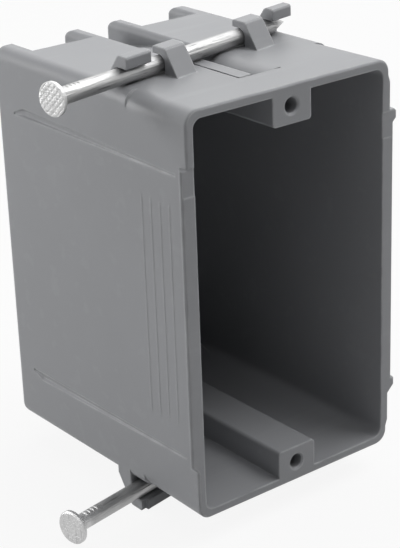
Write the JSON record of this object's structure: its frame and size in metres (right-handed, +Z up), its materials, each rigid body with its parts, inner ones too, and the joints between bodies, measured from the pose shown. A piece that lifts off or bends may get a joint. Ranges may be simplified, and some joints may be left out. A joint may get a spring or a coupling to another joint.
{
  "type": "plastic switch box",
  "caption": "Open-front moulded plastic wall box for a switch or outlet, with screw bars, rear cable ramps and slanted half-hooks that carry steel nails for fixing to a stud.",
  "frame": {"origin": "on the front rim plane, midway between the two device screw holes", "axes": "+X towards the stud side, +Y into the wall (the open front faces -Y), +Z up"},
  "size_m": [0.0798, 0.071, 0.106],
  "materials": {
    "grey_plastic": "satin moulded PVC",
    "nail_steel": "bright drawn steel wire"
  },
  "bodies": {
    "box": {"box_body": "grey_plastic"},
    "upper_nail": {"upper_nail": "nail_steel"},
    "lower_nail": {"lower_nail": "nail_steel"}
  },
  "joints": [
    {"name": "upper_nail_drive", "type": "slide", "parent": "box", "child": "upper_nail", "axis": [0.9829, 0.184, 0], "range_m": [0, 0.0155]},
    {"name": "lower_nail_drive", "type": "slide", "parent": "box", "child": "lower_nail", "axis": [0.9829, 0.184, 0], "range_m": [0, 0.018]}
  ]
}
